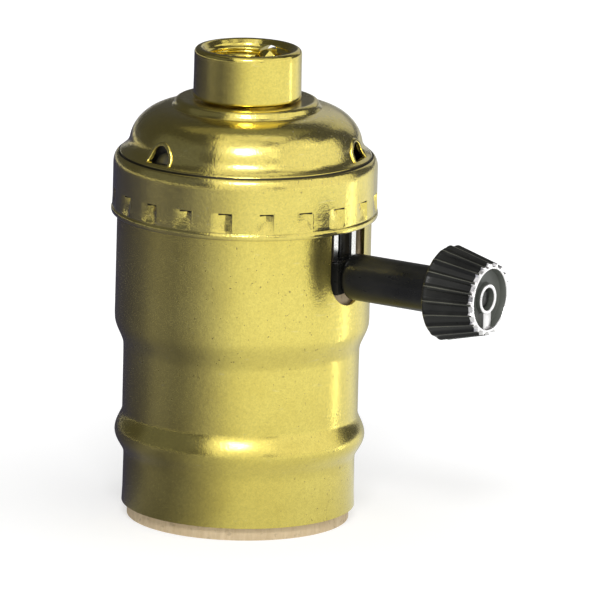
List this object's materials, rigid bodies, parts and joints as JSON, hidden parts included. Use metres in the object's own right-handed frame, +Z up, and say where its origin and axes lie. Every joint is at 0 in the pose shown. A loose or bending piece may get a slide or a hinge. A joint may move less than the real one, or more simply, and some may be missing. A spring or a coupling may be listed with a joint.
{
  "type": "turn knob lamp socket",
  "caption": "Brass-shell lamp holder for a screw-base bulb, with a side turn knob that works a rotary switch and a threaded hub on its push-fit cap.",
  "frame": {"origin": "on the socket's axis, at the underside of the centre contact that a lamp's tip touches", "axes": "+Z up along the socket's axis towards the threaded hub, +X out along the switch key towards its knob"},
  "size_m": [0.0566, 0.0354, 0.0635],
  "materials": {
    "brass": "satin to bright",
    "nickel": "nickel plated",
    "aluminium": "rolled",
    "bronze": "rolled spring bronze",
    "phenolic": "moulded, semi-matte",
    "liner_paper": "matte",
    "fibre": "matte"
  },
  "bodies": {
    "socket": {"cap": "brass", "threaded_hub": "brass", "hub_set_screw": "brass", "cap_insulator": "fibre", "outer_shell": "brass", "insulating_liner": "liner_paper", "screw_shell": "aluminium", "socket_body": "phenolic", "switch_cover": "phenolic", "retaining_fork": "nickel", "centre_contact": "bronze", "load_contact": "bronze", "contact_rivet": "brass", "body_rivet_left": "nickel", "body_rivet_right": "nickel", "hot_terminal": "brass", "neutral_terminal": "nickel", "hot_terminal_screw": "brass", "neutral_terminal_screw": "nickel", "detent_spring": "nickel"},
    "key": {"key_shaft": "nickel", "switch_rotor": "phenolic", "rotor_contact": "bronze", "key_stalk": "phenolic", "turn_knob": "phenolic"}
  },
  "joints": [
    {"name": "key_turn", "type": "hinge", "parent": "socket", "child": "key", "pos_m": [0, 0, 0.0081], "axis": [1, 0, 0], "continuous": true}
  ]
}
